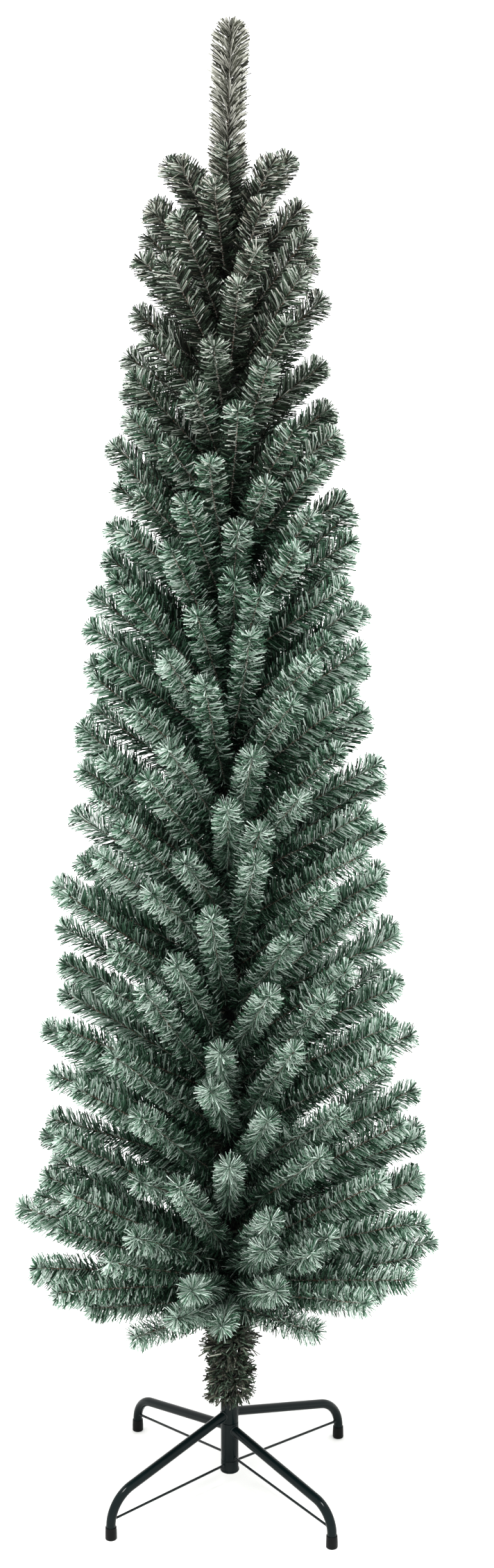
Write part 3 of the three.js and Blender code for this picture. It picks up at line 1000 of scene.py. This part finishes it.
    def wires(self, stems: Stems, rng: Rng) -> tuple[Surface, Array]:
        """Carries a four-cornered section along each stem and turns it as two twisted wires look.

        Corner k stands at angle 2 pi s / pitch + k pi / 2, and the corners are by turns far from
        the centre line and near it. The last section is smaller. Frost sticks in patches to faces
        that look away from the pole.

        Args:
            stems: The stems to make.
            rng: Where the patches of frost come from.

        Returns:
            The wires' surface, and 1 for each triangle with frost on it.
        """
        count, stations = len(stems.length), self.wire_stations
        stem = np.repeat(np.arange(count), stations)
        share = np.tile(np.linspace(0.0, 1.0, stations), count)
        along, beside, across = stems.axes(stem, share)
        middle = stems.point(stem, share) - along * np.where(share == 0.0, self.wire_sunk, 0.0)[:, None]
        turn = FULL_TURN * share * stems.length[stem] / self.wire_pitch
        corner = (turn[:, None] + np.arange(4) * np.pi / 2)[..., None]
        size = np.where(np.arange(4) % 2 == 0, self.wire_long, self.wire_short)[:, None]
        size = size * np.where(share == 1.0, self.wire_end, 1.0)[:, None, None]
        section = np.cos(corner) * beside[:, None] + np.sin(corner) * across[:, None]
        points = middle[:, None] + size * section
        index = np.arange(count * stations * 4).reshape(count, stations, 4)
        beyond = np.roll(index, -1, axis=2)
        a, b, c, d = index[:, :-1], beyond[:, :-1], beyond[:, 1:], index[:, 1:]
        sides = [np.stack(corners, -1).reshape(-1, 3) for corners in ((a, b, c), (a, c, d))]
        start, end = index[:, 0], index[:, -1]
        caps = [start[:, [0, 2, 1]], start[:, [0, 3, 2]], end[:, [0, 1, 2]], end[:, [0, 2, 3]]]
        surface = points.reshape(-1, 3), np.concatenate([*sides, *caps])
        place = surface[0][surface[1][:, 0]]
        exposed = np.sum(face_normals(surface) * unit(place * LEVEL), axis=1)
        exposed += rng.normal(0.0, self.wire_frost_spread, len(exposed))
        return surface, exposed > self.wire_frost_from

    def brackets(self, stems: Stems) -> list[Surface]:
        """A collar round the pole for each tier, with a short socket round each stem's root.

        Args:
            stems: All the stems, with the leader, which has no bracket.

        Returns:
            The collars and sockets.
        """
        made = []
        edge, half = self.bracket_edge, self.bracket_height / 2
        stations = np.linspace(*self.socket_span, self.socket_steps)
        for tier in np.unique(stems.tier[stems.tier < stems.tier.max()]):
            on_tier = stems.chosen(stems.tier == tier)
            middle = float(on_tier.root[:, 2].mean())
            low, high = middle - half, middle + half
            inner = self.pole.radius_at(middle) + FIT
            outer = inner + self.collar_wall
            profile = [(inner, low), (outer - edge, low), (outer, low + edge)]
            profile += [(outer, high - edge), (outer - edge, high), (inner, high)]
            made.append(turned(profile, self.bracket_sides, closed=True))
            for root, first in zip(on_tier.root, on_tier.first):
                path = root + stations[:, None] * first
                made.append(tube(path, UP, self.socket_radius, self.socket_sides))
        return made

    def dress(self) -> None:
        """Makes each stretch of the crown as one piece of needles and one of stems."""
        films = film_materials()
        wires = [STEM_WIRE.material(), FROSTED_WIRE.material()]
        stems = self.grow()
        rng = np.random.default_rng(self.seed)
        tiers = int(stems.tier.max())
        for low, high in pairwise((*self.stretches, tiers + 1)):
            stretch = stems.chosen((stems.tier >= low) & (stems.tier < high))
            nodes = [f"tier_{tier + 1:02d}" for tier in range(low, min(high, tiers))]
            nodes += ["leader"] if high > tiers else []
            label = f"tiers_{low + 1:02d}_{min(high, tiers):02d}"
            surface, shades = self.brushes(stretch, rng)
            make_piece(f"needles_{label}", [surface], films, nodes, shades, None)
            surface, shades = self.wires(stretch, rng)
            make_piece(f"stems_{label}", [surface], wires, nodes, shades, None)
        make_piece("tier_brackets", self.brackets(stems), [POLE_PAINT.material()])


# Garland


@dataclass
class Garland:
    """A loose curly brush wound round the pole between the stand and the lowest tier."""

    pole: Pole
    needle: Needle = Needle(width=1.6)
    name: str = "garland"
    nodes: tuple[str, ...] = ("pole_garland",)
    low: float = 127.0
    high: float = 222.0
    turns: float = 6.5
    off_pole: float = 2.0
    needles: int = 3400
    tufts: int = 110
    tuft_spread: float = 20.0  # how far a tuft leans from its place
    # A hanging band below, a waist and a skirt that opens into the lowest tier: the size of half a
    # needle and the needles' mean slope, by share of the height.
    sizes: Steps = ((0.0, 0.46), (0.14, 0.5), (0.34, 0.54), (0.47, 0.32), (0.7, 0.62), (1.0, 0.85))
    slopes: Steps = ((0.0, -50.0), (0.2, -14.0), (0.36, 4.0), (0.47, 0.0), (0.7, 32.0), (1.0, 48.0))
    spread: float = 14.0  # spread of a tuft's needles
    curl: float = 45.0  # how far a needle's outer half turns aside
    droop: float = 18.0  # how much lower it points
    droop_spread: float = 20.0
    steepest: float = 75.0
    size_range: tuple[float, float] = (0.45, 1.15)
    frost: float = 0.25
    frost_spread: float = 0.25
    frost_halves: tuple[float, float] = (-0.06, 0.12)  # what a needle's inner and outer half add
    frost_facing: float = 0.16  # how much more lies on faces that look up
    frost_steps: tuple = (0.22, 0.5, 0.8)
    wire_radius: float = 0.8
    wire_sides: int = 8
    stations: int = 260  # points along the wire, or 0 for no wire
    seed: int = 23

    def winding(self, share: Array) -> Array:
        """A helix round the pole: (r cos a, r sin a, z) with a = 2 pi turns s and z rising evenly.

        Args:
            share: Shares s of the way up.

        Returns:
            The points there.
        """
        angle = FULL_TURN * self.turns * share
        height = self.low + share * (self.high - self.low)
        radius = self.pole.radius_at(height) + self.off_pole
        return np.stack([radius * np.cos(angle), radius * np.sin(angle), height], axis=-1)

    def build(self) -> tuple[Surface, Array]:
        """Sets needles of two halves in tufts along the winding, pointing away from the pole.

        Returns:
            The needles' surface and the number of each triangle's film.
        """
        rng = np.random.default_rng(self.seed)
        tuft = rng.integers(0, self.tufts, self.needles)
        share = (tuft + rng.uniform(0.0, 1.0, self.needles)) / self.tufts
        root = self.winding(share)
        turn, lean = rng.normal(0.0, self.tuft_spread, (2, self.tufts))[:, tuft]
        turn, lean = (turn, lean) + rng.normal(0.0, self.spread, (2, self.needles))
        bearing = np.degrees(np.arctan2(root[:, 1], root[:, 0])) + turn
        slope = read_off(self.slopes, share) + lean
        along = heading(bearing, np.clip(slope, -self.steepest, self.steepest))
        curl = rng.normal(0.0, self.curl, self.needles)
        slope = slope - self.droop + rng.normal(0.0, self.droop_spread, self.needles)
        onward = heading(bearing + curl, np.clip(slope, -self.steepest, self.steepest))
        size = read_off(self.sizes, share) * rng.uniform(*self.size_range, self.needles)
        middle = root + along * (size * self.needle.length)[:, None]
        lower = self.needle.build(root, along, UP, rng, size)
        upper = self.needle.build(middle, onward, UP, rng, size)
        faces = np.concatenate([lower[1], upper[1] + len(lower[0])])
        surface = np.concatenate([lower[0], upper[0]]), faces
        by_needle = np.tile(rng.normal(self.frost, self.frost_spread, self.needles), 2)
        level = np.repeat(by_needle, FACES) + np.repeat(self.frost_halves, FACES * self.needles)
        level += self.frost_facing * face_normals(surface)[:, 2]
        tint = rng.integers(1, len(Tint), self.needles)  # any but the first
        tints = np.repeat(np.tile(tint, 2), FACES)
        return surface, np.digitize(level, self.frost_steps) + len(FROSTS) * tints

    def dress(self) -> None:
        """Makes the needles and the wire that they are caught in, if there is one."""
        surface, shades = self.build()
        name, films = f"{self.name}_needles", film_materials()
        make_piece(name, [surface], films, self.nodes, shades, None)
        if self.stations:
            path = self.winding(np.linspace(0.0, 1.0, self.stations))
            coil = tube(path, UP, self.wire_radius, self.wire_sides)
            make_piece(f"{self.name}_wire", [coil], [STEM_WIRE.material()], self.nodes)


@dataclass
class PoleWrap(Garland):
    """Curly dark film wrapped straight on the pole, which hides it inside the crown."""

    name: str = "pole_wrap"
    nodes: tuple[str, ...] = ()
    low: float = 222.0
    high: float = 1590.0
    pitch: float = 14.5
    turns: float = (high - low) / pitch
    off_pole: float = 0.0
    needles: int = 9000
    tufts: int = 1500
    sizes: Steps = ((0.0, 0.45), (1.0, 0.45))
    slopes: Steps = ((0.0, 15.0), (1.0, 15.0))
    frost: float = 0.2
    stations: int = 0
    seed: int = 29


# Studio


@dataclass
class Studio:
    """A plain pale floor, soft white light from all round and the camera of the front view."""

    floor_radius: float = 40000.0
    floor_depth: float = 20.0
    floor_sides: int = 96
    sky_strength: float = 1.85
    key_strength: float = 3.0
    key_angle: float = 14.0  # how wide the key light spreads
    key_bearing: float = -105.0  # where round the pole it comes from
    key_height: float = 68.0
    camera_place: tuple[float, float, float] = (0.0, -2469.0, 1398.0)
    camera_dip: float = 10.95
    camera_turn: float = -0.516
    focal_pixels: float = 3006.0
    picture_height: float = 2258.0  # pixels
    sensor: float = 36.0

    def floor(self) -> None:
        """A wide thin disc whose top lies at the floor's level."""
        edge, foot = self.floor_radius, -self.floor_depth
        points, faces = turned([(0.0, foot), (edge, foot), (edge, 0.0), (0.0, 0.0)], self.floor_sides)
        mesh = bpy.data.meshes.new("studio_floor")
        mesh.from_pydata((points / METRE).tolist(), [], faces.tolist())
        mesh.materials.append(FLOOR_PAINT.material())
        floor = bpy.data.objects.new("studio_floor", mesh)
        bpy.context.scene.collection.objects.link(floor)

    def light(self) -> None:
        """White surroundings and one broad key light from above the front left."""
        world = bpy.data.worlds.new("studio")
        world.use_nodes = True
        sky = world.node_tree.nodes["Background"]
        sky.inputs["Color"].default_value = (1.0, 1.0, 1.0, 1.0)
        sky.inputs["Strength"].default_value = self.sky_strength
        bpy.context.scene.world = world
        key = bpy.data.lights.new("key", "SUN")
        key.energy = self.key_strength
        key.angle = math.radians(self.key_angle)
        lamp = bpy.data.objects.new("key", key)
        tilt, turn = math.radians(90.0 - self.key_height), math.radians(self.key_bearing + 90.0)
        lamp.rotation_euler = (tilt, 0.0, turn)
        bpy.context.scene.collection.objects.link(lamp)

    def camera(self) -> None:
        """The camera that the front view was taken with, level from side to side."""
        lens = bpy.data.cameras.new("front")
        lens.sensor_width = self.sensor
        lens.lens = self.focal_pixels / self.picture_height * self.sensor
        camera = bpy.data.objects.new("front", lens)
        camera.location = [value / METRE for value in self.camera_place]
        tilt, turn = math.radians(90.0 - self.camera_dip), math.radians(self.camera_turn)
        camera.rotation_euler = (tilt, 0.0, turn)
        bpy.context.scene.collection.objects.link(camera)
        bpy.context.scene.camera = camera

    def set_up(self) -> None:
        """Puts floor, light and camera in place, with colours shown as they are."""
        bpy.context.scene.view_settings.view_transform = "Standard"
        self.floor()
        self.light()
        self.camera()


def main() -> None:
    """Dresses the tree from the floor up, then sets up the studio."""
    logging.basicConfig(level=logging.INFO, format="%(message)s")
    pole = Pole()
    pole.dress()
    Stand(pole).dress()
    Garland(pole).dress()
    PoleWrap(pole).dress()
    Crown(pole).dress()
    Studio().set_up()


if __name__ == "__main__":
    main()
